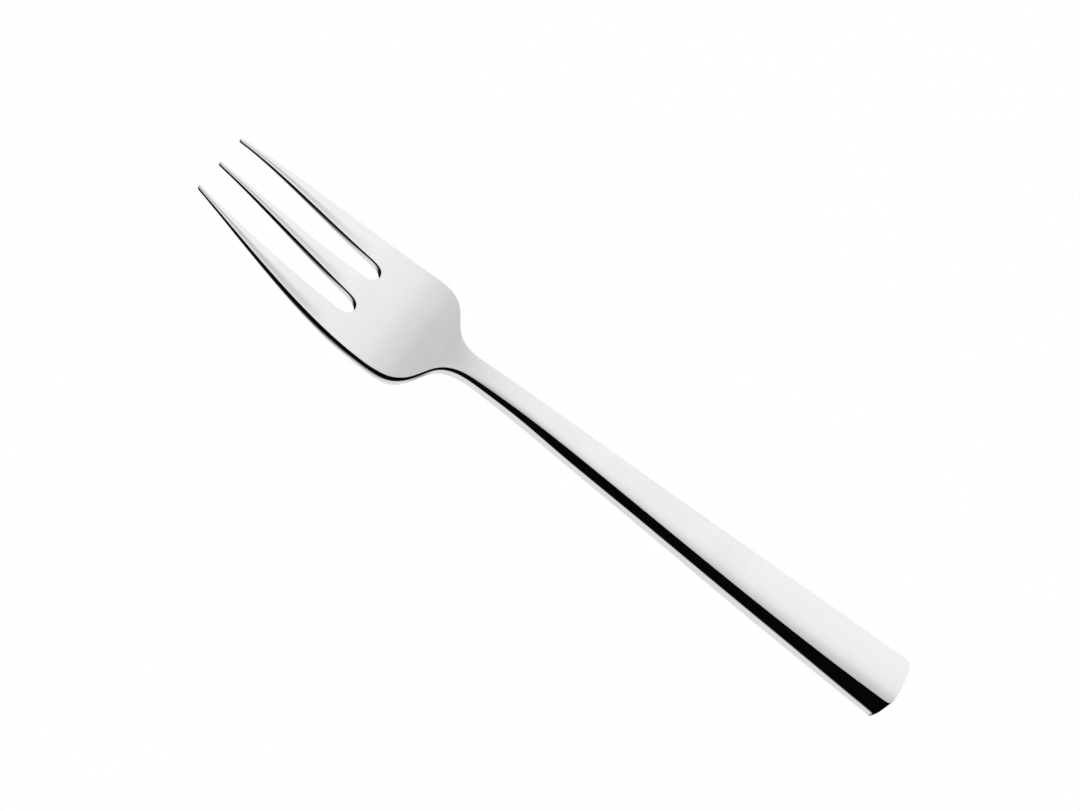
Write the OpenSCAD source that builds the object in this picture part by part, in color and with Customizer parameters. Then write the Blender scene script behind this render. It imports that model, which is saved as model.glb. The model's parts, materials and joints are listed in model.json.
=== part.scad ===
// Pastry fork forged in one piece from stainless steel, with three tines and a heavy handle.
// X runs from the tine tips to the heel of the handle, Z up, and the fork lies as on a table.
// The origin is on the table, under the middle of the length.
// Stations are measured along X from the tine tips, and moved to the origin only when drawn.

/* [Length] */
// From the tine tips to the heel of the handle
fork_length = 150; // [140:1:165]
// From the tips to the lowest point of the bowl, where the fork rests on the table
belly_x = 37.5; // [36:0.5:39]
// From the tips to the widest place of the head
widest_x = 41.5; // [39:0.5:43]
// From the tips to where the shoulders have run down into the neck
neck_x = 57; // [55:0.5:60]
// Straight, narrowest stretch of the neck
neck_straight = 4; // [2:0.5:8]
// From the tips to the bottom of the two slots
slot_depth = 33.5; // [31:0.5:35]

/* [Head] */
// Greatest width of the head
head_w = 24; // [22:0.5:27]
// Width over the outer tines at their tips
tips_w = 14; // [12:0.5:16]
// Width of each tine at its tip
tip_w = 0.7; // [0.5:0.1:1]
// Thickness of each tine at its tip
tip_t = 0.7; // [0.6:0.1:1.2]
// Length of the rounding in which each tine ends
tip_round = 0.6; // [0.4:0.1:1]
// Height of the tine tips above the table, to their upper face
tip_rise = 6.6; // [5:0.1:8]
// Thickness of the palm at the belly
palm_t = 2.2; // [1.8:0.1:2.6]
// Radius of the edge under the head
head_edge_r = 0.35; // [0.2:0.05:0.6]

/* [Slots] */
// Width of each slot at its round bottom
slot_w = 4; // [3.6:0.1:4.6]
// Distance between the middles of the two slots at their bottoms
slot_pitch = 8.8; // [8.2:0.1:9.4]
// How far the inner edges of the outer tines bow outwards on their way to the tips
slot_bow = 1.1; // [0.2:0.05:1.4]

/* [Neck] */
// Width of the neck
neck_w = 4.35; // [3.6:0.05:6]
// Height of the upper face above the table where the shoulders end in the neck
throat_rise = 3.9; // [3.4:0.1:4.6]
// Height of the hollow under the neck above the table
arch_rise = 1.5; // [1.2:0.05:2]
// Height of the upper face above the table where the handle starts
handle_rise = 5.4; // [4.8:0.1:6.2]

/* [Handle] */
// Width of the handle at its heel, over the upper face
heel_w = 10.1; // [8:0.1:13]
// Thickness of the handle at its heel
heel_t = 6.5; // [5.5:0.1:8]
// Height of the handle's underside above the table where the neck ends
under_rise = 1; // [0.7:0.1:1.4]
// How far each side wall leans out towards the table at the heel
side_lean = 0.8; // [0:0.05:1]
// Radius of the long edges under the handle
handle_edge_r = 0.9; // [0.5:0.1:1.6]
// Height by which the upper face is crowned across the handle
crown_h = 0.2; // [0:0.05:0.4]
// Radius of the heel's corners, seen from above
heel_corner_r = 1.6; // [0.8:0.1:2.5]
// How far the end of the handle bulges between those corners
heel_bulge = 0.4; // [0.1:0.05:0.8]
// Radius of the edge under the heel
heel_edge_r = 1; // [0.5:0.1:1.6]

/* [Hidden] */

// The outer edge leaves the tips in a line that would meet the full width at this share of widest_x
edge_pull_share = 0.65;
// Where the slot edges bend most, as a share of the way from the tips to the slot bottoms
slot_pull_share = 0.25;
mid_pull_share = 0.51;
// How much the middle tine has widened there, as a share of what it gains by the slot bottoms
mid_gain_share = 0.24;
// How far the two ends of the shoulder curve hold their direction, as a share of its length
shoulder_pull_share = 0.66;
// Where the handle starts to widen and stops again, as shares of its length behind the neck
flare_start_share = 0.25;
flare_end_share = 0.68;
// The neck takes this share of the long curve along its sides, and the handle the rest
neck_side_share = 0.28;
// The long edges and the crown of the handle are full-grown at this share of the way to the heel
grown_share = 0.5;
// A rounded edge takes at most this share of half the width
edge_limit_share = 0.8;
// Half width of the flat that is left in the middle of the end, as a share of that between the corners
end_flat_share = 0.2;
// Width of the flat at the very tip of a tine, as a share of the tip's width
tip_flat_share = 0.4;

// Slopes of the side view, as rise over run
tip_slope_share = -0.105;
tip_under_slope_share = -0.13;
throat_slope_share = 0.14;
throat_under_slope_share = 0.14;
heel_slope_share = 0.045;

// Places along the side view, as shares of the distance that each lies in
throat_place_share = 0.8;
throat_under_place_share = 0.66;
throat_under_rise_share = 0.71;
arch_place_share = 0.22;

// Steps along each stretch, and round a rounded edge
tine_steps = 14;
tip_steps = 5;
root_steps = 4;
palm_steps = 4;
shoulder_steps = 20;
neck_steps = 10;
handle_steps = 20;
corner_steps = 5;
end_steps = 3;
edge_steps = 4;
crown_steps = 6;
// Overrun of a cut past the face that it opens
cut_over = 1;
// Depth by which the handle's underside is planed to one flat face
planed = 0.05;

slot_r = slot_w / 2;
slot_end_x = slot_depth - slot_r;
// The tines join the root a slot's width ahead of the round slot bottoms
tine_x = slot_end_x - slot_w;
// The root ends half a slot's width behind them
palm_x = slot_depth + slot_r;
flare_x = neck_x + neck_straight;
flare_length = fork_length - flare_x;
heel_x = fork_length - heel_edge_r;
inner_root_y = slot_pitch / 2 + slot_r;
middle_root_y = slot_pitch / 2 - slot_r;
inner_tip_y = tips_w / 2 - tip_w;

function bezier2(a, b, c, t) = (1 - t) ^ 2 * a + 2 * t * (1 - t) * b + t ^ 2 * c;
function bezier3(a, b, c, d, t) =
    (1 - t) ^ 3 * a + 3 * t * (1 - t) ^ 2 * b + 3 * t ^ 2 * (1 - t) * c + t ^ 3 * d;

// How far along a curve of three points x lies, where the curve starts at the tips
function bow_t(x, pull, end) = (sqrt(pull ^ 2 + (end - 2 * pull) * x) - pull) / (end - 2 * pull);

// Side of the head, side of a slot on an outer tine, and side of the middle tine
function outer_y(x) =
    bezier2(tips_w / 2, head_w / 2, head_w / 2, bow_t(x, edge_pull_share * widest_x, widest_x));
function inner_y(x) =
    bezier2(inner_tip_y, inner_tip_y + slot_bow, inner_root_y,
            bow_t(x, slot_pull_share * slot_end_x, slot_end_x));
function middle_y(x) =
    bezier2(tip_w / 2, tip_w / 2 + mid_gain_share * (middle_root_y - tip_w / 2), middle_root_y,
            bow_t(x, mid_pull_share * slot_end_x, slot_end_x));

// Where the side curve of a shoulder lies at t, as place and half width, and which t belongs to x
shoulder_pull = shoulder_pull_share * (neck_x - widest_x);
function shoulder_at(t) = [
    bezier3(widest_x, widest_x + shoulder_pull, neck_x - shoulder_pull, neck_x, t),
    bezier3(head_w, head_w, neck_w, neck_w, t) / 2
];
function shoulder_t(x, low = 0, high = 1, halvings = 24) =
    let (mid = (low + high) / 2)
    halvings == 0 ? mid
    : shoulder_at(mid)[0] < x ? shoulder_t(x, mid, high, halvings - 1)
    : shoulder_t(x, low, mid, halvings - 1);

// Half width of the whole head, ahead of its widest place and behind it
function head_y(x) = x <= widest_x ? outer_y(x) : shoulder_at(shoulder_t(x))[1];

// Where the side curve of neck and handle lies at t, as place and half width
function side_at(t) = [
    bezier3(flare_x, flare_x + flare_start_share * flare_length,
            flare_x + flare_end_share * flare_length, fork_length, t),
    bezier3(neck_w, neck_w, heel_w, heel_w, t) / 2
];
handle_x = side_at(neck_side_share)[0];

// A smooth curve through knots of place, height and slope
function between(p, q, x) =
    let (run = q[0] - p[0], u = (x - p[0]) / run)
    p[1] * (1 - 3 * u ^ 2 + 2 * u ^ 3) + q[1] * (3 * u ^ 2 - 2 * u ^ 3)
    + run * (p[2] * (u - 2 * u ^ 2 + u ^ 3) + q[2] * (u ^ 3 - u ^ 2));
function through(knots, x, i = 0) =
    i >= len(knots) - 2 || x <= knots[i + 1][0]
    ? between(knots[i], knots[i + 1], x)
    : through(knots, x, i + 1);

throat_x = belly_x + throat_place_share * (neck_x - belly_x);
throat_under_x = belly_x + throat_under_place_share * (neck_x - belly_x);
arch_x = neck_x + arch_place_share * (handle_x - neck_x);
under_slope = -under_rise / (heel_x - handle_x);

top_knots = [
    [0, tip_rise, tip_slope_share],
    [belly_x, palm_t, 0],
    [throat_x, throat_rise, throat_slope_share],
    [handle_x, handle_rise, 0],
    [fork_length, heel_t, heel_slope_share]
];
under_knots = [
    [0, tip_rise - tip_t, tip_under_slope_share],
    [belly_x, 0, 0],
    [throat_under_x, throat_under_rise_share * arch_rise, throat_under_slope_share],
    [arch_x, arch_rise, 0],
    [handle_x, under_rise, under_slope]
];

function top_z(x) = through(top_knots, x);
// The underside of the handle falls in a straight line, and turns up in a round edge at the heel
function under_z(x) =
    x <= handle_x ? through(under_knots, x)
    : x <= heel_x ? under_slope * (x - heel_x)
    : heel_edge_r - sqrt(max(0, heel_edge_r ^ 2 - (x - heel_x) ^ 2));

// What grows from the neck to the heel: 0 at the head, 1 at the heel
function handle_part(x) = min(1, max(0, (x - neck_x) / (fork_length - neck_x)));
function grown_part(x) = min(1, handle_part(x) / grown_share);
function edge_r(x) = head_edge_r + (handle_edge_r - head_edge_r) * grown_part(x);
function lean(x) = side_lean * handle_part(x);
function crown(x) = crown_h * grown_part(x);

// Outline of one slice at x, between the sides y0 and y1, as seen from the heel
// Its underside can lie lower than the finished one, where that is planed flat afterwards
function slice(x, y0, y1, spare = 0) =
    let (
        top = top_z(x),
        under = under_z(x) - spare,
        out = lean(x) * min(1, (top - under) / heel_t),
        half = (y1 - y0) / 2,
        mid = (y0 + y1) / 2,
        r = min(edge_r(x), (top - under) / 2, edge_limit_share * half)
    )
    [
        for (i = [0 : crown_steps])
            let (s = 1 - 2 * i / crown_steps) [x, mid + s * half, top + crown(x) * (1 - s ^ 2)],
        for (i = [0 : edge_steps])
            let (g = 90 * i / edge_steps) [x, y0 - out + r - r * cos(g), under + r - r * sin(g)],
        for (i = [edge_steps : -1 : 0])
            let (g = 90 * i / edge_steps) [x, y1 + out - r + r * cos(g), under + r - r * sin(g)]
    ];

// The point of a slice where its flat underside starts, from which the end faces are spanned
under_start = crown_steps + 1 + edge_steps;

// A closed skin over slices that all have the same number of points
module skin(slices) {
    n = len(slices[0]);
    m = len(slices);
    flat = [for (s = slices) each [for (p = s) p - [fork_length / 2, 0, 0]]];
    near_cap = [for (i = [0 : n - 1]) (under_start + n - i) % n];
    far_cap = [for (i = [0 : n - 1]) (m - 1) * n + (under_start + i) % n];
    walls = [
        for (j = [0 : m - 2], i = [0 : n - 1])
            let (k = (i + 1) % n, a = j * n + i, b = j * n + k)
            each [[a, b, b + n], [a, b + n, a + n]]
    ];
    polyhedron(points = flat, faces = concat([near_cap], walls, [far_cap]));
}

// Slices across the whole fork at each [place, half width]
function full_slices(side, spare = 0) = [for (s = side) slice(s[0], -s[1], s[1], spare)];

// The two ends of a stretch and the places between them, at even steps
function places(from, to, steps) = [for (i = [0 : steps]) from + (to - from) * i / steps];

root_side = [for (x = places(tine_x, palm_x, root_steps)) [x, head_y(x)]];
palm_side = [
    [palm_x, head_y(palm_x)],
    for (x = places(palm_x, widest_x, palm_steps)) if (x > palm_x) [x, head_y(x)],
    for (i = [1 : shoulder_steps])
        let (s = shoulder_at(i / shoulder_steps)) if (s[0] > palm_x) s
];
neck_side = [
    [neck_x, neck_w / 2],
    for (t = places(0, neck_side_share, neck_steps)) side_at(t)
];

// The handle's sides turn round the heel's corners, whose middles lie at corner_x and corner_y,
// into one wide arc across the end
corner_x = fork_length - heel_corner_r - heel_bulge;
corner_y = heel_w / 2 - heel_corner_r;
end_r = heel_corner_r + (corner_y ^ 2 + heel_bulge ^ 2) / (2 * heel_bulge);
corner_turn = acos(corner_y / (end_r - heel_corner_r));
handle_side = [
    for (t = places(neck_side_share, 1, handle_steps))
        if (side_at(t)[0] < corner_x - heel_corner_r) side_at(t),
    for (g = places(0, corner_turn, corner_steps))
        [corner_x + heel_corner_r * sin(g), corner_y + heel_corner_r * cos(g)],
    for (i = [1 : end_steps - 1])
        let (g = corner_turn + (90 - corner_turn) * i / end_steps)
        [fork_length - end_r * (1 - sin(g)), end_r * cos(g)],
    [fork_length, end_flat_share * corner_y]
];

// The whole space above the plane on which the handle's underside lies
module above_underside() {
    space = fork_length;
    translate([heel_x - fork_length / 2, 0, 0])
        rotate([0, -atan(under_slope), 0])
            translate([-space, -space / 2, 0]) cube([2 * space, space, space]);
}

module handle() {
    color([0.83, 0.83, 0.85])
        intersection() {
            skin(full_slices(handle_side, planed));
            above_underside();
        }
}

module neck() {
    color([0.8, 0.8, 0.82]) skin(full_slices(neck_side));
}

module palm() {
    color([0.8, 0.8, 0.81]) skin(full_slices(palm_side));
}

// One slot with its round bottom, cut down through the root
module slot_cut() {
    linear_extrude(height = tip_rise)
        polygon(concat(
            [for (x = places(tine_x - cut_over, slot_end_x, root_steps)) [x, middle_y(x)]],
            [for (x = places(slot_end_x, tine_x - cut_over, root_steps)) [x, inner_y(x)]]
        ));
    translate([slot_end_x, slot_pitch / 2, 0]) cylinder(h = tip_rise, r = slot_r, $fn = 64);
}

module tine_root() {
    color([0.82, 0.82, 0.84])
        difference() {
            skin(full_slices(root_side));
            for (side = [0, 1])
                mirror([0, side, 0])
                    translate([-fork_length / 2, 0, -cut_over]) slot_cut();
        }
}

// Places along a tine, close together where the tip is rounded
tine_places = [
    for (i = [0 : tip_steps - 1]) tip_round * (1 - cos(90 * i / tip_steps)),
    each places(tip_round, tine_x, tine_steps)
];

// Share of a tine's full width that is left at x, where its tip is rounded down to a small flat
function tip_share(x) =
    x >= tip_round ? 1 : tip_flat_share + (1 - tip_flat_share) * sqrt(1 - (1 - x / tip_round) ^ 2);

function tine_slice(x, y0, y1) =
    let (mid = (y0 + y1) / 2, half = (y1 - y0) / 2 * tip_share(x)) slice(x, mid - half, mid + half);

module outer_tine() {
    skin([for (x = tine_places) tine_slice(x, inner_y(x), head_y(x))]);
}

module left_tine() {
    color([0.84, 0.84, 0.86]) mirror([0, 1, 0]) outer_tine();
}

module middle_tine() {
    color([0.81, 0.81, 0.83]) skin([for (x = tine_places) tine_slice(x, -middle_y(x), middle_y(x))]);
}

module right_tine() {
    color([0.84, 0.84, 0.86]) outer_tine();
}

handle();
neck();
palm();
tine_root();
left_tine();
middle_tine();
right_tine();
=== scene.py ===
# %% [markdown]
# # A mirror-polished pastry fork
# The real fork is one steel forging. It has no joints, screws or coating, so all of its looks come
# from two things: one very smooth skin, and what that skin reflects.
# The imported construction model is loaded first. It gives the fork's place and size, and the skin
# that is modelled here takes over from it, region by region.

# %% Load the construction model
import json
import math
import bmesh
import bpy
import numpy as np
from mathutils import Matrix, Vector
from mathutils.kdtree import KDTree

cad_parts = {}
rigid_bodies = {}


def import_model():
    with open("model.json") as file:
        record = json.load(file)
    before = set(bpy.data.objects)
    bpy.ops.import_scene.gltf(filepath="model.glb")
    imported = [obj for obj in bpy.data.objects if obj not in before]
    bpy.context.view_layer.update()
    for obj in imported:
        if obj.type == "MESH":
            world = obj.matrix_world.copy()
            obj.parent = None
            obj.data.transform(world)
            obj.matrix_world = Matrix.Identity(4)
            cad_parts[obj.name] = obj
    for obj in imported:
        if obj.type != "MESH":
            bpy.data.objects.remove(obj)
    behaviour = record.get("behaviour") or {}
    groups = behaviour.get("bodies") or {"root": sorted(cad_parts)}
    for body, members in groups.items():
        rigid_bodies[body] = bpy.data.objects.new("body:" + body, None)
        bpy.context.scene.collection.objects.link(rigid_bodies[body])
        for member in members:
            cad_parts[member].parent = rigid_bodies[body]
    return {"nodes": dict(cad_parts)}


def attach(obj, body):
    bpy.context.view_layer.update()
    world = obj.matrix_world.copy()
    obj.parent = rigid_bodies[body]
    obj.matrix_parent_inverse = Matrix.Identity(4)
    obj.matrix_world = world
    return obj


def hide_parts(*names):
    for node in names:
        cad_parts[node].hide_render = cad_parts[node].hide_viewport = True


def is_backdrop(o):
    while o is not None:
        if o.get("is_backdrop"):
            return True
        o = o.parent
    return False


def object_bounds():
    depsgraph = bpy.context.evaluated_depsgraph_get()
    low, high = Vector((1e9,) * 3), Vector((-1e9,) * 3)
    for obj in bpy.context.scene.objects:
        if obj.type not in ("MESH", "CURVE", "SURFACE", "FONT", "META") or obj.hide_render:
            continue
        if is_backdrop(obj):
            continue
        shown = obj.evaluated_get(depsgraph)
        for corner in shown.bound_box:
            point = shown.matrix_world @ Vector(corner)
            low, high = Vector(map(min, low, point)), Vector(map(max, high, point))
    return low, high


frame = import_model()
cad_box = [list(corner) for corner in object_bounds()]
print("nodes:", sorted(frame["nodes"]))
print("box in mm:", [[round(1000 * value, 2) for value in corner] for corner in cad_box])

# %% [markdown]
# ## Camera
# The photograph was taken from the left of the handle's side, a little over half way up to
# straight above, and turned so that the handle runs down to the right. The three directions of
# the camera say this directly: where the picture's right lies, where its top lies, and the rest
# follows. A lens of 73 mm at arm's length gives the slight narrowing towards the tines.

# %% Place the camera
camera_place = Vector((-0.0365, -0.2290, 0.3109))
picture_right = Vector((0.7914, 0.4474, 0.4165)).normalized()
picture_up = Vector((-0.6060, 0.6634, 0.4389))
picture_up = (picture_up - picture_up.dot(picture_right) * picture_right).normalized()
towards_camera = picture_right.cross(picture_up)

camera_data = bpy.data.cameras.new("camera")
camera_data.lens = 73.33
camera_data.sensor_width = 36.0
camera_data.sensor_fit = "HORIZONTAL"
camera_data.clip_start = 0.01
camera_data.clip_end = 20.0
camera = bpy.data.objects.new("camera", camera_data)
bpy.context.scene.collection.objects.link(camera)
turn = Matrix((picture_right, picture_up, towards_camera)).transposed()
camera.matrix_world = Matrix.Translation(camera_place) @ turn.to_4x4()
bpy.context.scene.camera = camera
bpy.context.scene.view_settings.view_transform = "Standard"
print("camera", round(1000 * camera_place.length), "mm from the middle of the fork")

# %% [markdown]
# ## Sizes
# These are the construction model's own sizes, in millimetres, so that the skin lies on it. Where
# the skin departs from it, by tenths of a millimetre, the step that does so says it.
# Places along the fork count from the tine tips. Its curves say how wide and how high the fork
# is at each place.

# %% Name the sizes
fork_length, belly_x, widest_x, neck_x, neck_straight = 150.0, 37.5, 41.5, 57.0, 4.0
head_w, tips_w, tip_w, tip_t, tip_rise, palm_t = 24.0, 14.0, 0.7, 0.7, 6.6, 2.2
slot_depth, slot_w, slot_pitch, slot_bow = 33.5, 4.0, 8.8, 1.1
neck_w, throat_rise, arch_rise, handle_rise = 4.35, 3.9, 1.5, 5.4
heel_w, heel_t, under_rise = 10.1, 6.5, 1.0
head_edge_r, handle_edge_r, heel_corner_r, heel_bulge, heel_edge_r = 0.35, 0.9, 1.6, 0.4, 1.0

slot_r = slot_w / 2
slot_end_x = slot_depth - slot_r
tine_x = slot_end_x - slot_w
palm_x = slot_depth + slot_r
flare_x = neck_x + neck_straight
flare_length = fork_length - flare_x
heel_x = fork_length - heel_edge_r
mm = 0.001
print("a fork of", fork_length, "mm, with its slots", slot_depth, "mm deep")


# %% Describe its curves
def bezier(points, t):
    """The point at t on a curve of two, three or four points."""
    while len(points) > 1:
        points = [a + (b - a) * t for a, b in zip(points, points[1:])]
    return points[0]


def bow_t(x, pull, end):
    """How far along a three-point curve from the tips x lies."""
    return (math.sqrt(pull**2 + (end - 2 * pull) * x) - pull) / (end - 2 * pull)


def outer_y(x):
    return bezier((tips_w / 2, head_w / 2, head_w / 2), bow_t(x, 0.65 * widest_x, widest_x))


def inner_y(x):
    tip_y = tips_w / 2 - tip_w
    ends = (tip_y, tip_y + slot_bow, slot_pitch / 2 + slot_r)
    return bezier(ends, bow_t(x, 0.25 * slot_end_x, slot_end_x))


def middle_y(x):
    gain = slot_pitch / 2 - slot_r - tip_w / 2
    ends = (tip_w / 2, tip_w / 2 + 0.24 * gain, tip_w / 2 + gain)
    return bezier(ends, bow_t(x, 0.51 * slot_end_x, slot_end_x))


def shoulder_at(t):
    """Place and half width on the curve from the widest place of the head down to the neck."""
    pull = 0.66 * (neck_x - widest_x)
    x = bezier((widest_x, widest_x + pull, neck_x - pull, neck_x), t)
    return x, bezier((head_w, head_w, neck_w, neck_w), t) / 2


def flare_at(t):
    """Place and half width on the curve from the neck to the heel."""
    pulls = (flare_x + 0.25 * flare_length, flare_x + 0.68 * flare_length)
    x = bezier((flare_x, *pulls, fork_length), t)
    return x, bezier((neck_w, neck_w, heel_w, heel_w), t) / 2


def through(knots, x):
    """Height of a smooth curve through knots of place, height and slope."""
    i = max(i for i in range(len(knots) - 1) if i == 0 or x > knots[i][0])
    (a, height_a, slope_a), (b, height_b, slope_b) = knots[i], knots[i + 1]
    u, run = (x - a) / (b - a), b - a
    blend = 3 * u**2 - 2 * u**3
    bend = slope_a * (u - 2 * u**2 + u**3) + slope_b * (u**3 - u**2)
    return height_a + (height_b - height_a) * blend + run * bend


handle_x = flare_at(0.28)[0]
under_slope = -under_rise / (heel_x - handle_x)
throat_run = neck_x - belly_x
top_knots = (
    (0, tip_rise, -0.105),
    (belly_x, palm_t, 0),
    (belly_x + 0.8 * throat_run, throat_rise, 0.14),
    (handle_x, handle_rise, 0),
    (fork_length, heel_t, 0.045),
)
under_knots = (
    (0, tip_rise - tip_t, -0.13),
    (belly_x, 0, 0),
    (belly_x + 0.66 * throat_run, 0.71 * arch_rise, 0.14),
    (neck_x + 0.22 * (handle_x - neck_x), arch_rise, 0),
    (handle_x, under_rise, under_slope),
)


def top(x):
    return through(top_knots, x)


def under(x):
    return through(under_knots, x) if x <= handle_x else max(0, under_slope * (x - heel_x))


def handle_part(x):
    """What grows from the neck to the heel: 0 on the head, 1 at the heel."""
    return min(1, max(0, (x - neck_x) / (fork_length - neck_x)))


def edge_r(x):
    return head_edge_r + (handle_edge_r - head_edge_r) * min(1, 2 * handle_part(x))


print("neck to handle border at", round(handle_x, 2), "mm")

# %% [markdown]
# ## A cage for a subdivision surface
# A polished forging has no facets, so its skin is a subdivision surface: a coarse cage of quads
# that the modifier rounds into a smooth one. The cage is planned from above, for one half of the
# fork, as rows across it. Nine lines run along the fork: the middle, both edges of the slot, the
# slot's middle and the outer edge, and one line close beside each edge, which keeps the rounding
# there small. In front of the slot bottoms the strip between the slot's edges stays open.

# %% Plan the rows of the cage
MIDDLE, M_GUARD, M_EDGE, SLOT, T_EDGE, T_GUARD, T_MIDDLE, GUARD, EDGE = range(9)
guard = 0.35          # how far a guard line lies beside its edge
slot_round = 1.1      # the cage goes round a slot bottom this much outside it


def tine_row(x, width=1.0):
    """One row across half the tines. Width narrows it, for the rounding of the tips."""
    m = middle_y(x) * width
    centre, half = (outer_y(x) + inner_y(x)) / 2, (outer_y(x) - inner_y(x)) / 2 * width
    near, out = centre - half, centre + half
    m_guard, t_guard = min(guard, 0.45 * m), min(guard, 0.45 * half)
    ys = [0, m - m_guard, m, None, near, near + t_guard, centre, out - t_guard, out]
    return [None if y is None else (x, y) for y in ys]


def full_row(x, half, slot_part):
    """One row across half of palm, neck or handle. slot_part is 1 by the slots, 0 on the handle."""
    head_shares = (0, 0.14, 0.19, 0.365, 0.54, 0.575, 0.77)
    handle_shares = (0, 0.15, 0.3, 0.45, 0.58, 0.7, 0.82)
    ys = [half * (a * slot_part + b * (1 - slot_part)) for a, b in zip(head_shares, handle_shares)]
    return [(x, y) for y in (*ys, half - guard, half)]


def arc_row(x, lead):
    """A row that goes round the slot bottom."""
    reach, centre = slot_round * slot_r * math.sqrt(0.5), slot_pitch / 2
    row = full_row(x, outer_y(x), 1)
    row[M_GUARD], row[M_EDGE] = (x, centre - reach - guard), (x, centre - reach)
    row[T_EDGE], row[T_GUARD] = (x, centre + reach), (x, centre + reach + guard)
    row[SLOT] = (slot_end_x + slot_round * slot_r + lead, centre)
    return row


rows = [tine_row(0, 0.55), tine_row(0.35, 0.9)]
rows += [tine_row(x) for x in (1.2, 3.5, 7, 11, 15, 19, 23, 26.5, 29.5, slot_end_x)]
arc = len(rows)
arc_x = slot_end_x + slot_round * slot_r * math.sqrt(0.5)
rows += [arc_row(arc_x, 0), arc_row(arc_x + 0.45, 0.4)]
rows += [full_row(x, outer_y(x), 1) for x in (35.4, 37.5, 39.5)]
for i in range(11):
    x, half = shoulder_at(i / 10)
    rows.append(full_row(x, half, 0.5 + 0.5 * math.cos(math.pi * i / 10)))
rows.append(full_row(flare_x, neck_w / 2, 0))
flare_places = (0.08, 0.16, 0.24, 0.33, 0.42, 0.52, 0.62, 0.72, 0.82, 0.9, 0.96)
rows += [full_row(*flare_at(t), 0) for t in flare_places]
corner_r, bulge, end_x = 0.75 * heel_corner_r, 0.6 * heel_bulge, fork_length + 0.2
corner_y = heel_w / 2 - corner_r
rows.append(full_row(end_x - bulge - corner_r, heel_w / 2, 0))
end_shares = (0, 0.18, 0.36, 0.53, 0.68, 0.8, 0.9, 1)
end_row = [(end_x - bulge * share**2, corner_y * share) for share in end_shares]
slant = 0.85 * corner_r
end_row.append((end_x - bulge - corner_r + slant, corner_y + slant))
rows.append(end_row)
print(len(rows), "rows, with the slot bottoms at row", arc)

# %% [markdown]
# A subdivision surface pulls in from its cage wherever the cage bends, by a sixth of the bend.
# So each line of the cage is set out by that much, and the finished skin goes through the
# points of the plan. Each point also gets its two heights here, of the upper face and of the
# underside. The upper face is crowned a little, more so towards the heel and on the tines: it is
# nearly flat in the middle and falls off beside its edges, where buffing takes most. The
# underside is a little deeper at the neck, because the walls roll under there.


# %% Work out the cage's points
def set_out(points, kept=(), passes=12):
    """Cage points whose smooth curve goes through the given ones. Kept points stay put."""
    wanted = np.array(points, float)
    cage = wanted.copy()
    for _ in range(passes):
        bend = np.zeros_like(cage)
        bend[1:-1] = cage[:-2] - 2 * cage[1:-1] + cage[2:]
        for i in kept:
            bend[i] = 0
        cage = wanted - bend / 6
    return cage


cage = {}
all_lines = range(9)
# place along the tines and, there, the height of their crown as a share of half their width
tine_places, tine_crowns = (5, 20, 28, slot_end_x), (0.12, 0.085, 0.055, 0)
# place along the fork and, there, how high the upper face is crowned
crown_places = (50, 60, 66, 85, 110, 140, fork_length)
crowns = (0, 0.09, 0.09, 0.08, 0.14, 0.21, 0.21)
# place along the fork and, there, how much deeper the underside lies than the plain model's
drop_places, drops = (40, 46, 52, 60, 115, 148), (0, 0.4, 0.4, 0.3, 0.3, 0)
for line in all_lines:
    first = arc if line == SLOT else 0
    wanted = []
    for row in rows[first:]:
        x, y = row[line]
        crown = float(np.interp(x, crown_places, crowns)) * (1 - abs(y / row[EDGE][1]) ** 3)
        if x < slot_end_x and line in (MIDDLE, T_MIDDLE):
            half = middle_y(x) if line == MIDDLE else (outer_y(x) - inner_y(x)) / 2
            crown += half * float(np.interp(x, tine_places, tine_crowns))
        wanted.append((x, y, top(x) + crown, under(x) - float(np.interp(x, drop_places, drops))))
    kept = (arc - 1, arc, arc + 1) if line in (M_GUARD, M_EDGE, T_EDGE, T_GUARD) else ()
    for number, point in enumerate(set_out(wanted, kept), first):
        cage[number, line] = point
print(len(cage), "cage points for one half")


# %% [markdown]
# ## Drawing the cage
# The cage starts as a small grid at the heel, seen from above. Its front row is then extruded
# from row to row towards the tips, and each new point is moved to its place. At the slot bottom
# the row divides: only the strips of the middle tine and of the outer tine go on.


# %% Helpers for edit mode
def start_edit(obj, mode="VERT"):
    bpy.ops.object.select_all(action="DESELECT")
    obj.select_set(True)
    bpy.context.view_layer.objects.active = obj
    bpy.ops.object.mode_set(mode="EDIT")
    bpy.ops.mesh.select_mode(type=mode)
    bpy.ops.mesh.select_all(action="DESELECT")


def pick(obj, indices):
    """Selects just these vertices of the mesh in edit mode, with the edges between them."""
    bpy.ops.mesh.select_all(action="DESELECT")
    skin = bmesh.from_edit_mesh(obj.data)
    skin.verts.ensure_lookup_table()
    for i in indices:
        skin.verts[i].select = True
    skin.select_flush(True)
    bmesh.update_edit_mesh(obj.data)


def picked(obj):
    """The selected vertices, from the middle line outwards."""
    skin = bmesh.from_edit_mesh(obj.data)
    found = [(v.co.y, i) for i, v in enumerate(skin.verts) if v.select]
    return [i for y, i in sorted(found)]


def settle(obj, indices, lines, number):
    """Moves a row's vertices to the cage's points of these lines."""
    for index, line in zip(indices, lines):
        pick(obj, [index])
        skin = bmesh.from_edit_mesh(obj.data)
        skin.verts.ensure_lookup_table()
        x, y = cage[number, line][:2]
        way = Vector(((x - fork_length / 2) * mm, y * mm, 0)) - skin.verts[index].co
        bpy.ops.transform.translate(value=way)


def apply_modifier(obj, kind, **settings):
    modifier = obj.modifiers.new(kind.title(), kind)
    for name, value in settings.items():
        setattr(modifier, name, value)
    bpy.context.view_layer.objects.active = obj
    bpy.ops.object.modifier_apply(modifier=modifier.name)


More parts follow.
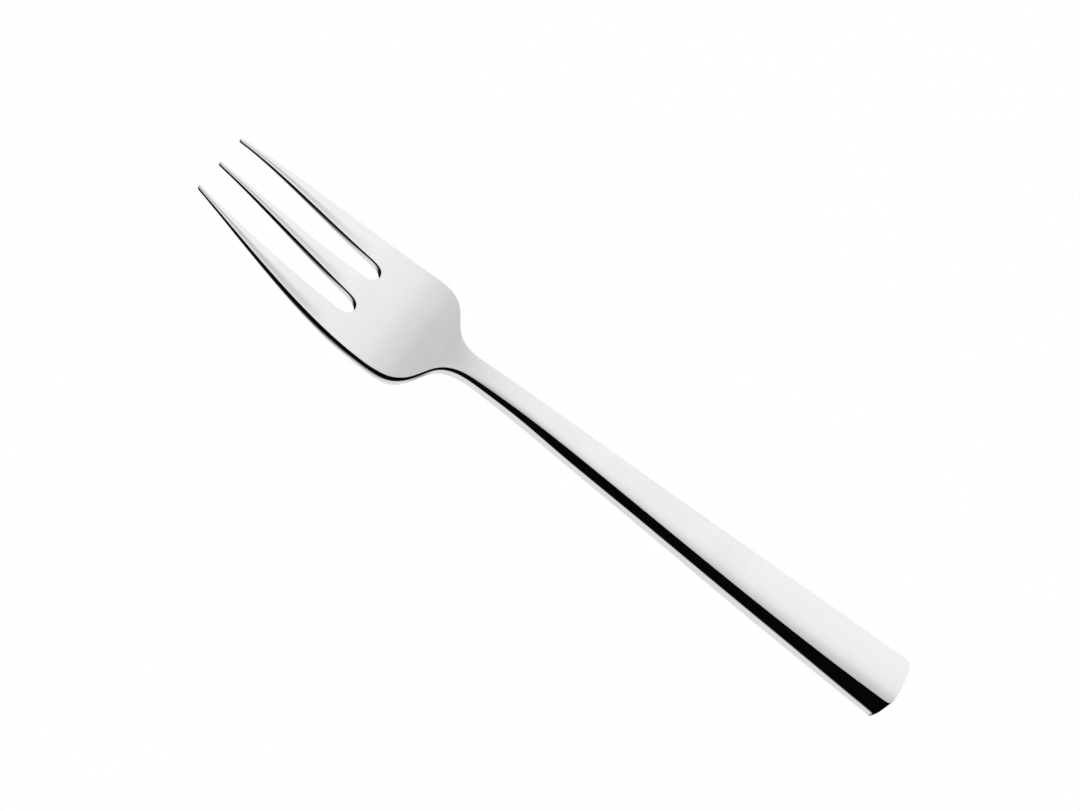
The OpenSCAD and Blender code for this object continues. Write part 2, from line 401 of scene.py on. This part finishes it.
# %% Draw one half from above
same_place = 1e-6      # metres: points closer than this are one
last = len(rows) - 1
grid_x = (fork_length - heel_w / 4) / 2 * mm
bpy.ops.object.select_all(action="DESELECT")
bpy.ops.mesh.primitive_grid_add(
    x_subdivisions=1,
    y_subdivisions=8,
    size=heel_w / 2 * mm,
    location=(grid_x, heel_w / 4 * mm, 0),
)
blank = bpy.context.active_object
blank.name = "fork_blank"
bpy.ops.object.transform_apply(location=True, rotation=True, scale=True)
start_edit(blank)
from_middle = sorted(blank.data.vertices, key=lambda v: v.co.y)
heel_row = [v.index for v in from_middle if v.co.x > grid_x]
front = [v.index for v in from_middle if v.co.x < grid_x]
settle(blank, heel_row, all_lines, last)
settle(blank, front, all_lines, last - 1)
for number in range(last - 2, arc - 1, -1):
    pick(blank, front)
    bpy.ops.mesh.extrude_region_move(TRANSFORM_OT_translate={"value": (-mm, 0, 0)})
    front = picked(blank)
    settle(blank, front, all_lines, number)

strips = {(MIDDLE, M_GUARD, M_EDGE): front[:3], (T_EDGE, T_GUARD, T_MIDDLE, GUARD, EDGE): front[4:]}
for lines, front in strips.items():
    for number in range(arc - 1, -1, -1):
        pick(blank, front)
        bpy.ops.mesh.extrude_region_move(TRANSFORM_OT_translate={"value": (-mm, 0, 0)})
        front = picked(blank)
        settle(blank, front, lines, number)
bpy.ops.object.mode_set(mode="OBJECT")
apply_modifier(
    blank,
    "MIRROR",
    use_axis=(False, True, False),
    use_mirror_merge=True,
    merge_threshold=same_place,
)
print("plan:", len(blank.data.vertices), "points,", len(blank.data.polygons), "faces")

# %% [markdown]
# The side walls aren't straight cuts. Grinding and buffing leave them upright below the crisp
# upper edge, and on the handle leaning outwards a little. From about half way down they roll
# under towards the table. That roll catches the light from below, as a pale band under the dark
# one. Each level of the wall is described by its height, by how far it leans out of the plan's
# border, and by how far the roll sets it back in.


# %% Describe the wall
def tine_half(x):
    """Half the width of the narrowest bar at x."""
    return min(middle_y(x), (outer_y(x) - inner_y(x)) / 2) if x < slot_end_x else neck_w / 2


def lower_r(x, thick):
    """Radius at the very bottom of the wall."""
    return min(0.4 * edge_r(x), 0.1 + 0.1 * thick, 0.3 * tine_half(x))


# place along the fork and, there, how far the outer wall leans out below its upper edge
lean_places = (20, 32, widest_x, 46, 51, neck_x, 66, 95, 115, 130, fork_length)
lean_sizes = (0, 0.1, 0.1, 0.25, 0.12, 0.2, 0.4, 0.45, 0.58, 0.65, 0.82)
# how far above the underside the handle's wall turns to the table
turn_places = (neck_x, 66, 80, 100, 120, 135, fork_length)
turn_heights = (1.8, 2.3, 2.05, 2.4, 2.8, 2.8, 2.45)
# how much of the roll is left on the shoulder
roll_places, roll_shares = (widest_x, 46, 51, 54, neck_x), (1, 0.4, 0.7, 0.65, 1)
# and how far the slots' walls have turned from the outer walls' shape to one that rolls sooner
slot_places, slot_shares = (14, 26, slot_end_x), (0, 0.12, 0.5)
end_roll = 0.35         # the heel's end rolls less than its sides
# each wall has an upper and a lower level, and insets at its lower level and at its bottom, as
# shares of the head's thickness, with what a slot adds, and of the height of the handle's turn
head_levels, slot_extras = (0.7, 0.3, 0.035, 0.083), (0.15, 0.15, 0.085, 0.2)
handle_levels = (1.2, 0.64, 0.115, 0.25)
turn_limit = 0.7        # the turn stays under this share of the thickness
low_limit, bottom_limit = 0.12, 0.3     # and the insets under these, of half the narrowest bar


def lean_way(x, border):
    """The direction in which the wall leans: along the border, but on the handle only sideways."""
    if x <= neck_x:
        return border
    return Vector((0, math.copysign(min(1, 1.5 * abs(border.y)), border.y), 0))


def wall_levels(x, thick, outer):
    """Height over the underside, lean and inset of each level of the wall, from the top down."""
    lean = float(np.interp(x, lean_places, lean_sizes)) if outer else 0
    on_handle = min(1, max(0, (x - widest_x) / (neck_x - widest_x)))
    turn = min(float(np.interp(x, turn_places, turn_heights)), turn_limit * thick)
    slot = 0 if outer else float(np.interp(x, slot_places, slot_shares))
    head = [thick * (share + extra * slot) for share, extra in zip(head_levels, slot_extras)]
    handle = [share * turn for share in handle_levels]
    handle[0] = min(handle[0], turn_limit * thick)
    high, low, in_low, in_bottom = (a + (b - a) * on_handle for a, b in zip(head, handle))
    roll = float(np.interp(x, roll_places, roll_shares))
    in_low = roll * min(in_low, low_limit * tine_half(x))
    in_bottom = roll * min(in_bottom, bottom_limit * tine_half(x))
    heights = (thick, thick - min(guard, 0.2 * thick), high, low, 0)
    leans = (0, lean * (thick - heights[1]) / (thick - high), lean, lean, lean)
    return list(zip(heights, leans, (0, 0, 0, in_low, in_bottom)))


print("wall at the heel:", [[round(v, 2) for v in level] for level in wall_levels(147, 6.4, True)])

# %% [markdown]
# The flat plan becomes a body by four extrusions downwards, one for each level of the wall.
# Then each point goes to its real height, which bends the flat plan into bowl, throat and
# handle, and each point of the wall goes to its level's place, out of the border or in from it.

# %% Find the border's outward directions
outward = {}
for edge in blank.data.edges:
    beside = [face for face in blank.data.polygons if edge.key in face.edge_keys]
    if len(beside) > 1:
        continue
    ends = [blank.data.vertices[i].co for i in edge.vertices]
    across = Vector((ends[1].y - ends[0].y, ends[0].x - ends[1].x, 0)).normalized()
    if across.dot(beside[0].center - ends[0]) > 0:
        across.negate()
    for i in edge.vertices:
        outward[i] = outward.get(i, Vector()) + across
outward = {i: direction.normalized() for i, direction in outward.items()}
plan_tree = KDTree(len(blank.data.vertices))
for v in blank.data.vertices:
    plan_tree.insert(v.co, v.index)
plan_tree.balance()


def plan_index(x, y):
    """The plan's own number for the point at this place of the frame, in metres."""
    return plan_tree.find((x, y, 0))[1]


print(len(outward), "points on the border")

# %% Give the plan its body
start_edit(blank)
bpy.ops.mesh.select_all(action="SELECT")
for _ in range(4):
    bpy.ops.mesh.extrude_region_move(TRANSFORM_OT_translate={"value": (0, 0, -mm)})
bpy.ops.mesh.select_all(action="SELECT")
bpy.ops.mesh.normals_make_consistent(inside=False)
bpy.ops.object.mode_set(mode="OBJECT")


bevel_room = 0.12      # millimetres that the lower guard line keeps free beside the bevel
heights_at, under_guard = {}, {}
for (number, line), (x, y, upper, lower) in cage.items():
    edge_line = {M_GUARD: M_EDGE, T_GUARD: T_EDGE, GUARD: EDGE}.get(line)
    for sign in (1, -1):
        here = plan_index((x - fork_length / 2) * mm, sign * y * mm)
        heights_at[here] = (x, upper, lower, line == EDGE)
        if edge_line is None or number == last or (number > arc and line != GUARD):
            continue
        edge_x, edge_y = cage[number, edge_line][:2]
        towards = outward[plan_index((edge_x - fork_length / 2) * mm, sign * edge_y * mm)]
        gap = math.hypot(edge_x - x, edge_y - y)
        inset = wall_levels(x, upper - lower, line == GUARD)[4][2]
        clear = max(0, lower_r(x, upper - lower) + bevel_room - gap)
        under_guard[here] = -towards * (inset + clear) * mm

start_edit(blank)
for index, v in enumerate([v.co.copy() for v in blank.data.vertices]):
    level = round(-v.z / mm)
    here = plan_index(v.x, v.y)
    x, upper, lower, outer = heights_at[here]
    border = outward.get(here)
    height, lean, inset = wall_levels(x, upper - lower, outer)[level]
    way = Vector((0, 0, (lower + height + level) * mm))
    if border:
        back = Vector((border.x * (end_roll if x > heel_x - corner_r else 1), border.y, 0))
        way += (lean_way(x, border) * lean - back * inset) * mm
    if level == 4:
        way += under_guard.get(here, Vector())
    pick(blank, [index])
    bpy.ops.transform.translate(value=way)
bpy.ops.object.mode_set(mode="OBJECT")
print("body:", len(blank.data.polygons), "faces, height", round(blank.dimensions.z / mm, 2), "mm")

# %% [markdown]
# ## Edges
# Polishing leaves the upper edges crisp, with a rounding of less than a tenth of a millimetre,
# and the lower edges soft. Both are bevelled in the cage, with each edge's own weight, and the
# subdivision then makes them round.

# %% Bevel the rims and subdivide
rim_r = 0.04
steep_z = 0.55      # a face is a wall where its normal's Z is under this
mesh = blank.data
weights = mesh.attributes.new("bevel_weight_edge", "FLOAT", "EDGE")
faces_at = {}
for face in mesh.polygons:
    for key in face.edge_keys:
        faces_at.setdefault(key, []).append(face)
values = [0.0] * len(mesh.edges)
rim_count = 0
for edge in mesh.edges:
    normals = [face.normal for face in faces_at[tuple(sorted(edge.vertices))]]
    steep = [abs(n.z) < steep_z for n in normals]
    if sum(steep) != 1:
        continue
    flat = normals[steep.index(False)]
    middle = (mesh.vertices[edge.vertices[0]].co + mesh.vertices[edge.vertices[1]].co) / 2 / mm
    x = min(fork_length, max(0, middle.x + fork_length / 2))
    thick = top(x) - under(x)
    radius = min(rim_r, 0.2 * thick) if flat.z > 0 else lower_r(x, thick)
    values[edge.index] = radius / handle_edge_r
    rim_count += 1
weights.data.foreach_set("value", values)
apply_modifier(
    blank,
    "BEVEL",
    limit_method="WEIGHT",
    width=handle_edge_r * mm,
    segments=2,
    profile=0.5,
    use_clamp_overlap=False,
)
apply_modifier(blank, "SUBSURF", levels=3, render_levels=3)
print(rim_count, "rim edges bevelled; skin of", len(blank.data.polygons), "faces")

# %% [markdown]
# ## From one skin to the named regions
# The construction model divides the forging on planes into tines, root, palm, neck and handle.
# The skin is divided on the same planes, so that each region stays a piece of its own. A cut
# through a mirror would show as a line if each piece worked out its own shading at the border.
# So the uncut skin's normals are stored on its points first, the cut passes them on, and each
# piece is shaded with them.

# %% Store the shading of the whole skin
mesh = blank.data
normals = np.zeros(len(mesh.vertices) * 3, np.float32)
mesh.vertices.foreach_get("normal", normals)
stored = mesh.attributes.new("whole_normal", "FLOAT_VECTOR", "POINT")
stored.data.foreach_set("vector", normals)


def cut(obj, x, keep_front):
    """Cuts the piece at x and closes it there. keep_front keeps what lies towards the tips."""
    start_edit(obj)
    bpy.ops.mesh.select_all(action="SELECT")
    bpy.ops.mesh.bisect(
        plane_co=((x - fork_length / 2) * mm, 0, 0),
        plane_no=(1, 0, 0),
        use_fill=True,
        clear_outer=keep_front,
        clear_inner=not keep_front,
        threshold=1e-7,
    )
    bpy.ops.object.mode_set(mode="OBJECT")


def keep_between(obj, low, high):
    """Keeps the part of the mesh between two places across the fork."""
    start_edit(obj)
    pick(obj, [v.index for v in obj.data.vertices if not low < v.co.y / mm < high])
    bpy.ops.mesh.delete(type="VERT")
    bpy.ops.object.mode_set(mode="OBJECT")


def shade_as_whole(obj, cuts):
    """Shades the piece with the stored normals, and its cut faces flat."""
    mesh = obj.data
    bpy.ops.object.select_all(action="DESELECT")
    obj.select_set(True)
    bpy.context.view_layer.objects.active = obj
    bpy.ops.object.shade_smooth()
    point_normals = np.zeros(len(mesh.vertices) * 3, np.float32)
    mesh.attributes["whole_normal"].data.foreach_get("vector", point_normals)
    point_normals = point_normals.reshape(-1, 3)
    corner_points = np.zeros(len(mesh.loops), np.int32)
    mesh.loops.foreach_get("vertex_index", corner_points)
    corner_normals = point_normals[corner_points]
    for face in mesh.polygons:
        place = face.center.x / mm + fork_length / 2
        if abs(face.normal.x) > 0.999 and any(abs(place - x) < 0.001 for x in cuts):
            corner_normals[face.loop_start : face.loop_start + face.loop_total] = face.normal
    lengths = np.linalg.norm(corner_normals, axis=1, keepdims=True)
    mesh.normals_split_custom_set(corner_normals / np.maximum(lengths, 1e-9))
    mesh.attributes.remove(mesh.attributes["whole_normal"])


# %% Divide the skin
tine_gap = slot_pitch / 2
regions = {
    "left_tine": (None, tine_x, -head_w, -tine_gap),
    "middle_tine": (None, tine_x, -tine_gap, tine_gap),
    "right_tine": (None, tine_x, tine_gap, head_w),
    "tine_root": (tine_x, palm_x, None, None),
    "palm": (palm_x, neck_x, None, None),
    "neck": (neck_x, handle_x, None, None),
    "handle": (handle_x, None, None, None),
}
pieces = {}
for node, (start, end, low, high) in regions.items():
    bpy.ops.object.select_all(action="DESELECT")
    blank.select_set(True)
    bpy.context.view_layer.objects.active = blank
    bpy.ops.object.duplicate()
    piece = bpy.context.active_object
    piece.name = "polished_" + node
    piece.data.name = piece.name
    if start is not None:
        cut(piece, start, keep_front=False)
    if end is not None:
        cut(piece, end, keep_front=True)
    if low is not None:
        keep_between(piece, low, high)
    shade_as_whole(piece, [x for x in (start, end) if x is not None])
    pieces[node] = piece
    print(piece.name, len(piece.data.polygons), "faces")
bpy.data.objects.remove(blank)

# %% [markdown]
# ## Polished steel
# Mirror-polished stainless steel is a metal of pale, almost neutral grey with a very low
# roughness. Looked at closely it isn't perfect: the buffing wheel leaves hair-fine lines that run
# along the fork, washing leaves a faint haze in patches, and use leaves single short scratches.
# Each of these is a node group with its own values, so that it can be used in other metals too.


# %% Build the effects
def new_group(name, inputs, outputs):
    """An empty shader node group with named sockets, and its two end nodes."""
    group = bpy.data.node_groups.new(name, "ShaderNodeTree")
    for socket, kind, value in inputs:
        made = group.interface.new_socket(name=socket, in_out="INPUT", socket_type=kind)
        if value is not None:
            made.default_value = value
    for socket, kind in outputs:
        group.interface.new_socket(name=socket, in_out="OUTPUT", socket_type=kind)
    return group, group.nodes.new("NodeGroupInput"), group.nodes.new("NodeGroupOutput")


def node(tree, kind, **settings):
    made = tree.nodes.new(kind)
    for name, value in settings.items():
        setattr(made, name, value)
    return made


def buffing_lines():
    """Hair-fine lines along the fork, from noise that is stretched along X."""
    group, start, end = new_group(
        "buffing_lines",
        [("Vector", "NodeSocketVector", None), ("Per Metre", "NodeSocketFloat", 9000.0)],
        [("Lines", "NodeSocketFloat")],
    )
    stretch = node(group, "ShaderNodeVectorMath", operation="MULTIPLY")
    stretch.inputs[1].default_value = (0.012, 1.0, 1.0)
    noise = node(group, "ShaderNodeTexNoise")
    noise.inputs["Detail"].default_value = 3.0
    noise.inputs["Roughness"].default_value = 0.6
    link = group.links.new
    link(start.outputs["Vector"], stretch.inputs[0])
    link(stretch.outputs["Vector"], noise.inputs["Vector"])
    link(start.outputs["Per Metre"], noise.inputs["Scale"])
    link(noise.outputs["Fac"], end.inputs["Lines"])
    return group


def washing_haze():
    """Soft patches, 0 where the mirror is clear and 1 where it is hazy."""
    group, start, end = new_group(
        "washing_haze",
        [("Vector", "NodeSocketVector", None), ("Per Metre", "NodeSocketFloat", 90.0)],
        [("Haze", "NodeSocketFloat")],
    )
    noise = node(group, "ShaderNodeTexNoise")
    noise.inputs["Detail"].default_value = 4.0
    noise.inputs["Distortion"].default_value = 0.4
    spread = node(group, "ShaderNodeMapRange")
    spread.inputs["From Min"].default_value = 0.45
    spread.inputs["From Max"].default_value = 0.75
    link = group.links.new
    link(start.outputs["Vector"], noise.inputs["Vector"])
    link(start.outputs["Per Metre"], noise.inputs["Scale"])
    link(noise.outputs["Fac"], spread.inputs["Value"])
    link(spread.outputs["Result"], end.inputs["Haze"])
    return group


def fine_scratches():
    """Sparse short scratches: the thin borders of stretched, turned cells."""
    group, start, end = new_group(
        "fine_scratches",
        [("Vector", "NodeSocketVector", None), ("Per Metre", "NodeSocketFloat", 350.0)],
        [("Scratches", "NodeSocketFloat")],
    )
    turned = node(group, "ShaderNodeMapping")
    turned.inputs["Rotation"].default_value = (0.0, 0.0, 0.5)
    turned.inputs["Scale"].default_value = (0.25, 1.0, 1.0)
    cells = node(group, "ShaderNodeTexVoronoi", feature="DISTANCE_TO_EDGE")
    thin = node(group, "ShaderNodeMapRange")
    thin.inputs["From Min"].default_value = 0.012
    thin.inputs["From Max"].default_value = 0.0
    some = node(group, "ShaderNodeTexNoise")
    some.inputs["Scale"].default_value = 120.0
    rare = node(group, "ShaderNodeMapRange")
    rare.inputs["From Min"].default_value = 0.55
    rare.inputs["From Max"].default_value = 0.7
    both = node(group, "ShaderNodeMath", operation="MULTIPLY")
    link = group.links.new
    link(start.outputs["Vector"], turned.inputs["Vector"])
    link(turned.outputs["Vector"], cells.inputs["Vector"])
    link(start.outputs["Per Metre"], cells.inputs["Scale"])
    link(cells.outputs["Distance"], thin.inputs["Value"])
    link(start.outputs["Vector"], some.inputs["Vector"])
    link(some.outputs["Fac"], rare.inputs["Value"])
    link(thin.outputs["Result"], both.inputs[0])
    link(rare.outputs["Result"], both.inputs[1])
    link(both.outputs["Value"], end.inputs["Scratches"])
    return group


effects = {"lines": buffing_lines(), "haze": washing_haze(), "scratches": fine_scratches()}
print("effects:", ", ".join(group.name for group in effects.values()))


# %% Mix the steel
grain_rough, scratch_rough = 0.02, 0.12     # roughness that the lines and the scratches add
haze_shade = 0.96                           # how much of its colour hazy steel keeps
scratch_depth = -2.0                        # beside a line's height of 1
line_height = 0.000001                      # metres


def polished_steel(name, colour, clear, hazy, line_depth):
    """Mirror steel. clear and hazy are its lowest and highest roughness."""
    steel = bpy.data.materials.new(name)
    steel.use_nodes = True
    tree = steel.node_tree
    tree.nodes.clear()
    link = tree.links.new
    place = node(tree, "ShaderNodeTexCoord")
    made = {}
    for key, group in effects.items():
        made[key] = node(tree, "ShaderNodeGroup", node_tree=group)
        link(place.outputs["Object"], made[key].inputs["Vector"])

    rough = node(tree, "ShaderNodeMapRange")
    rough.inputs["To Min"].default_value = clear
    rough.inputs["To Max"].default_value = hazy
    link(made["haze"].outputs["Haze"], rough.inputs["Value"])
    grain = node(tree, "ShaderNodeMath", operation="MULTIPLY_ADD")
    grain.inputs[1].default_value = grain_rough
    link(made["lines"].outputs["Lines"], grain.inputs[0])
    link(rough.outputs["Result"], grain.inputs[2])
    worn = node(tree, "ShaderNodeMath", operation="MULTIPLY_ADD")
    worn.inputs[1].default_value = scratch_rough
    link(made["scratches"].outputs["Scratches"], worn.inputs[0])
    link(grain.outputs["Value"], worn.inputs[2])

    tone = node(tree, "ShaderNodeMix", data_type="RGBA")
    tone.inputs["A"].default_value = (*colour, 1.0)
    tone.inputs["B"].default_value = (*(haze_shade * part for part in colour), 1.0)
    link(made["haze"].outputs["Haze"], tone.inputs["Factor"])

    relief = node(tree, "ShaderNodeMath", operation="MULTIPLY_ADD")
    relief.inputs[1].default_value = scratch_depth
    link(made["scratches"].outputs["Scratches"], relief.inputs[0])
    link(made["lines"].outputs["Lines"], relief.inputs[2])
    bump = node(tree, "ShaderNodeBump")
    bump.inputs["Strength"].default_value = line_depth
    bump.inputs["Distance"].default_value = line_height
    link(relief.outputs["Value"], bump.inputs["Height"])

    metal = node(tree, "ShaderNodeBsdfPrincipled")
    metal.inputs["Metallic"].default_value = 1.0
    link(tone.outputs["Result"], metal.inputs["Base Color"])
    link(worn.outputs["Value"], metal.inputs["Roughness"])
    link(bump.outputs["Normal"], metal.inputs["Normal"])
    output = node(tree, "ShaderNodeOutputMaterial")
    link(metal.outputs["BSDF"], output.inputs["Surface"])
    return steel


mirror_steel = polished_steel("mirror_polished_steel", (0.93, 0.93, 0.94), 0.03, 0.07, 0.2)
for name, piece in pieces.items():
    piece.data.materials.clear()
    piece.data.materials.append(mirror_steel)
    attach(piece, "root")
    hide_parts(name)
print("steel on", len(pieces), "pieces")

# %% [markdown]
# ## Studio
# A mirror shows its surroundings, so the studio is built for what the fork reflects. The fork
# hangs over a pale floor. A wide black ring lies on the floor, with a pale round opening below the
# handle, and its inner edge is soft. The side walls reflect it as their dark band, and their
# rolled-under part reflects the pale opening. The camera doesn't see the ring, and it
# takes no light from the floor.


# %% Lay the floor and the ring
def sheet_paint(name, colour, seen_glow, mirrored_glow, opening=None):
    """Matt paint. The glows are added only for the camera and for reflections. An opening in the
    middle is clear up to its first radius and painted from its second one on."""
    paint = bpy.data.materials.new(name)
    paint.use_nodes = True
    tree = paint.node_tree
    tree.nodes.clear()
    link = tree.links.new
    matt = node(tree, "ShaderNodeBsdfDiffuse")
    matt.inputs["Color"].default_value = (colour, colour, colour, 1.0)
    path = node(tree, "ShaderNodeLightPath")
    mirrored = node(tree, "ShaderNodeMath", operation="MAXIMUM")
    link(path.outputs["Is Glossy Ray"], mirrored.inputs[0])
    link(path.outputs["Is Transmission Ray"], mirrored.inputs[1])
    seen = node(tree, "ShaderNodeMath", operation="MULTIPLY")
    seen.inputs[1].default_value = seen_glow
    link(path.outputs["Is Camera Ray"], seen.inputs[0])
    share = node(tree, "ShaderNodeMath", operation="MULTIPLY_ADD")
    share.inputs[1].default_value = mirrored_glow
    link(mirrored.outputs["Value"], share.inputs[0])
    link(seen.outputs["Value"], share.inputs[2])
    glow = node(tree, "ShaderNodeEmission")
    link(share.outputs["Value"], glow.inputs["Strength"])
    both = node(tree, "ShaderNodeAddShader")
    link(matt.outputs["BSDF"], both.inputs[0])
    link(glow.outputs["Emission"], both.inputs[1])
    output = node(tree, "ShaderNodeOutputMaterial")
    if opening is None:
        link(both.outputs["Shader"], output.inputs["Surface"])
        return paint
    place = node(tree, "ShaderNodeTexCoord")
    radius = node(tree, "ShaderNodeVectorMath", operation="LENGTH")
    link(place.outputs["Object"], radius.inputs[0])
    cover = node(tree, "ShaderNodeMapRange", interpolation_type="SMOOTHSTEP")
    cover.inputs["From Min"].default_value, cover.inputs["From Max"].default_value = opening
    link(radius.outputs["Value"], cover.inputs["Value"])
    clear = node(tree, "ShaderNodeBsdfTransparent")
    fade = node(tree, "ShaderNodeMixShader")
    link(cover.outputs["Result"], fade.inputs["Fac"])
    link(clear.outputs["BSDF"], fade.inputs[1])
    link(both.outputs["Shader"], fade.inputs[2])
    link(fade.outputs["Shader"], output.inputs["Surface"])
    return paint


floor_z, floor_size = -0.35, 8
ring_x, ring_gap = 0.04, 0.002      # the ring's middle, and its height over the floor
ring_clear, ring_inner, ring_outer = 0.15, 0.225, 3.0
bpy.ops.object.select_all(action="DESELECT")
bpy.ops.mesh.primitive_plane_add(size=floor_size, location=(0, 0, floor_z))
floor = bpy.context.active_object
floor.name = "floor"
floor.data.materials.append(sheet_paint("floor_paint", 0.85, 0.44, 0.21))
floor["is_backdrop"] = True

ring_place = (ring_x, 0, floor_z + ring_gap)
bpy.ops.object.select_all(action="DESELECT")
bpy.ops.mesh.primitive_circle_add(vertices=96, radius=ring_outer, location=ring_place)
ring = bpy.context.active_object
ring.name = "black_ring"
ring_hole = ring_clear / ring_outer
start_edit(ring, "EDGE")
bpy.ops.mesh.select_all(action="SELECT")
bpy.ops.mesh.extrude_region_move()
bpy.ops.transform.resize(value=(ring_hole, ring_hole, 1), center_override=ring_place)
bpy.ops.object.mode_set(mode="OBJECT")
velvet = sheet_paint("black_velvet", 0.003, 0.0, 0.0, opening=(ring_clear, ring_inner))
ring.data.materials.append(velvet)
ring.visible_camera = ring.visible_diffuse = ring.visible_shadow = False
ring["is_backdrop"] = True
print("floor", round(-1000 * floor_z), "mm below, ring of", len(ring.data.polygons), "faces")

# %% [markdown]
# The upper face reflects the sky. Its main light is a large soft panel behind the fork, which
# fades out towards the left and towards the top, so that the handle darkens at its near edge and
# the palm darkens where it climbs into the neck. A second panel over the camera draws the bright
# hairline on the upper rim, and panels at both ends give the other views something to mirror.
# The sky is described by the X and Y of the direction in which the mirror looks.


# %% Hang the panels
panel_edge = 0.12      # half the width over which a panel's edge fades


def lit_panel():
    """A soft-edged panel in the sky: 1 inside its bounds, 0 outside them."""
    sockets = [("Direction", "NodeSocketVector", None)]
    sockets += [(name, "NodeSocketFloat", 0.0) for name in ("X From", "X To", "Y From", "Y To")]
    group, start, end = new_group("lit_panel", sockets, [("Light", "NodeSocketFloat")])
    link = group.links.new
    apart = node(group, "ShaderNodeSeparateXYZ")
    link(start.outputs["Direction"], apart.inputs["Vector"])
    light = None
    for axis in "XY":
        for bound, sign in (("From", 1.0), ("To", -1.0)):
            beyond = node(group, "ShaderNodeMath", operation="SUBTRACT")
            link(apart.outputs[axis], beyond.inputs[0])
            link(start.outputs[axis + " " + bound], beyond.inputs[1])
            fade = node(group, "ShaderNodeMapRange", interpolation_type="SMOOTHSTEP")
            fade.inputs["From Min"].default_value = -panel_edge * sign
            fade.inputs["From Max"].default_value = panel_edge * sign
            link(beyond.outputs["Value"], fade.inputs["Value"])
            if light is None:
                light = fade.outputs["Result"]
                continue
            both = node(group, "ShaderNodeMath", operation="MULTIPLY")
            link(light, both.inputs[0])
            link(fade.outputs["Result"], both.inputs[1])
            light = both.outputs["Value"]
    link(light, end.inputs["Light"])
    return group


def fading(tree, source, tones):
    """A tone that changes along a coordinate of the sky."""
    ramp = node(tree, "ShaderNodeValToRGB")
    stops = ramp.color_ramp.elements
    while len(stops) < len(tones):
        stops.new(0.5)
    for stop, (coordinate, tone) in zip(stops, tones):
        stop.position = (coordinate + 1) / 2
        stop.color = (tone, tone, tone, 1.0)
    spread = node(tree, "ShaderNodeMapRange")
    spread.inputs["From Min"].default_value = -1.0
    tree.links.new(source, spread.inputs["Value"])
    tree.links.new(spread.outputs["Result"], ramp.inputs["Fac"])
    return ramp.outputs["Color"]


# coordinate and tone, along X and along Y, of the main light
fade_x = ((-0.5, 0.5), (-0.3, 0.56), (-0.22, 0.65), (-0.17, 0.76), (-0.12, 0.85), (-0.07, 0.905),
          (-0.02, 0.945), (0.03, 0.97), (0.12, 1.0), (0.6, 1.0), (0.85, 0.6))
fade_y = ((-0.1, 0.43), (0.3, 0.52), (0.42, 0.66), (0.48, 0.8), (0.53, 0.92), (0.58, 0.98),
          (0.66, 1.0), (0.9, 1.0))
main_light = 0.94
other_panels = (
    ((-0.7, 0.7, -0.95, -0.3), 0.5),
    ((-1.2, -0.55, -0.8, 0.8), 0.45),
    ((0.72, 1.2, -0.8, 0.3), 0.45),
)

world = bpy.data.worlds.new("studio_sky")
bpy.context.scene.world = world
world.use_nodes = True
tree = world.node_tree
tree.nodes.clear()
link = tree.links.new
way = node(tree, "ShaderNodeTexCoord")
apart = node(tree, "ShaderNodeSeparateXYZ")
link(way.outputs["Generated"], apart.inputs["Vector"])
main = node(tree, "ShaderNodeVectorMath", operation="MULTIPLY")
link(fading(tree, apart.outputs["X"], fade_x), main.inputs[0])
link(fading(tree, apart.outputs["Y"], fade_y), main.inputs[1])
sky = node(tree, "ShaderNodeVectorMath", operation="SCALE")
sky.inputs["Scale"].default_value = main_light
link(main.outputs["Vector"], sky.inputs[0])
panel_group = lit_panel()
for bounds, strength in other_panels:
    panel = node(tree, "ShaderNodeGroup", node_tree=panel_group)
    link(way.outputs["Generated"], panel.inputs["Direction"])
    for name, value in zip(("X From", "X To", "Y From", "Y To"), bounds):
        panel.inputs[name].default_value = value
    lit = node(tree, "ShaderNodeVectorMath", operation="MULTIPLY_ADD")
    lit.inputs[1].default_value = (strength,) * 3
    link(panel.outputs["Light"], lit.inputs[0])
    link(sky.outputs["Vector"], lit.inputs[2])
    sky = lit
path = node(tree, "ShaderNodeLightPath")
seen = node(tree, "ShaderNodeMix", data_type="RGBA")
seen.inputs["B"].default_value = (0.995, 0.995, 0.995, 1.0)
link(path.outputs["Is Camera Ray"], seen.inputs["Factor"])
link(sky.outputs["Vector"], seen.inputs["A"])
back = node(tree, "ShaderNodeBackground")
link(seen.outputs["Result"], back.inputs["Color"])
output = node(tree, "ShaderNodeOutputWorld")
link(back.outputs["Background"], output.inputs["Surface"])
print("sky with", 1 + len(other_panels), "panels")

# %% [markdown]
# ## Boxes
# The boxes of the construction model and of the skin are both printed.

# %% Finish
bpy.context.view_layer.update()
look_box = [list(corner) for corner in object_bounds()]
print("visual box in mm:", [[round(1000 * value, 2) for value in corner] for corner in look_box])
